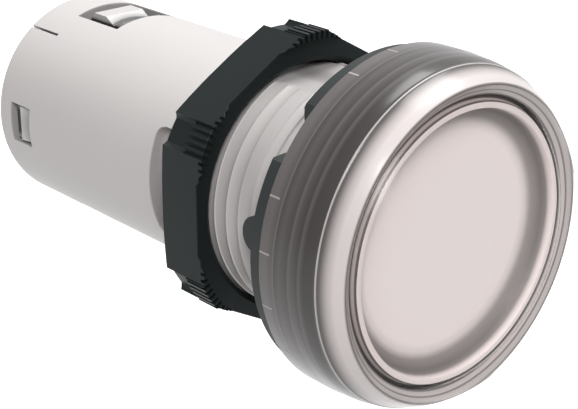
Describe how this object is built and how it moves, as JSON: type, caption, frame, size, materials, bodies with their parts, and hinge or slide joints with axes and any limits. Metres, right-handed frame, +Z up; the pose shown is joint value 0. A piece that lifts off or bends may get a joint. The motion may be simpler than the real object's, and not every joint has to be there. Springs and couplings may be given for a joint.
{
  "type": "panel pilot light",
  "caption": "Round panel pilot light with a clear domed lens over a white diffuser, a threaded barrel with a rubber gasket and a ribbed hexagonal nut, and screw terminals in the rear.",
  "frame": {"origin": "where the light's axis meets the back face of the panel gasket, the face that rests on the front of the panel", "axes": "+Y back along the axis towards the terminals, the lens faces -Y, +Z up towards the latch window"},
  "size_m": [0.0296, 0.055, 0.0296],
  "materials": {
    "housing": "satin, off-white",
    "lens": "clear, polished",
    "diffuser": "satin, milky white",
    "reflector": "satin, white",
    "seal": "matte, black",
    "gasket": "matte, black",
    "nut": "satin, black",
    "block": "satin, off-white",
    "cover": "satin, off-white",
    "contact": "brushed",
    "clamp": "plated",
    "screw": "plated",
    "board": "solder mask, green",
    "lamp_board": "solder mask, white",
    "lamp": "gloss, pale yellow",
    "pin": "tinned",
    "film_case": "gloss, dull yellow",
    "varistor_coat": "gloss, blue",
    "rectifier_case": "matte, black",
    "resistor_coat": "satin, pale blue",
    "can": "gloss, black sleeve"
  },
  "bodies": {
    "housing_body": {"housing": "housing", "lens_cap": "lens", "diffuser_cup": "diffuser", "reflector_cone": "reflector", "lens_seal": "seal", "panel_gasket": "gasket", "terminal_block": "block", "rear_cover": "cover", "terminal_bar_left": "contact", "terminal_bar_right": "contact", "lamp_board": "lamp_board", "led_chips": "lamp", "board_pins": "pin", "driver_board": "board", "film_capacitor": "film_case", "varistor": "varistor_coat", "bridge_rectifier": "rectifier_case", "series_resistors": "resistor_coat", "smoothing_capacitor": "can"},
    "nut": {"fixing_nut": "nut"},
    "clamp_left": {"clamp_plate_left": "clamp"},
    "clamp_right": {"clamp_plate_right": "clamp"},
    "screw_left": {"terminal_screw_left": "screw"},
    "screw_right": {"terminal_screw_right": "screw"}
  },
  "joints": [
    {"name": "nut_travel", "type": "slide", "parent": "housing_body", "child": "nut", "axis": [0, 1, 0], "range_m": [-0.005, 0.0355]},
    {"name": "clamp_left_slide", "type": "slide", "parent": "housing_body", "child": "clamp_left", "axis": [0, 1, 0], "range_m": [0, 0.0024]},
    {"name": "screw_left_turn", "type": "hinge", "parent": "clamp_left", "child": "screw_left", "pos_m": [-0.0044, 0.0331, -0.0006], "axis": [0, 1, 0], "range_deg": [0, 1920]},
    {"name": "clamp_right_slide", "type": "slide", "parent": "housing_body", "child": "clamp_right", "axis": [0, 1, 0], "range_m": [0, 0.0024]},
    {"name": "screw_right_turn", "type": "hinge", "parent": "clamp_right", "child": "screw_right", "pos_m": [0.0044, 0.0331, -0.0006], "axis": [0, 1, 0], "range_deg": [0, 1920]}
  ],
  "couplings": [
    {"joint": "screw_left_turn", "follows": "clamp_left_slide", "rad_per_m": 13963},
    {"joint": "screw_right_turn", "follows": "clamp_right_slide", "rad_per_m": 13963}
  ]
}
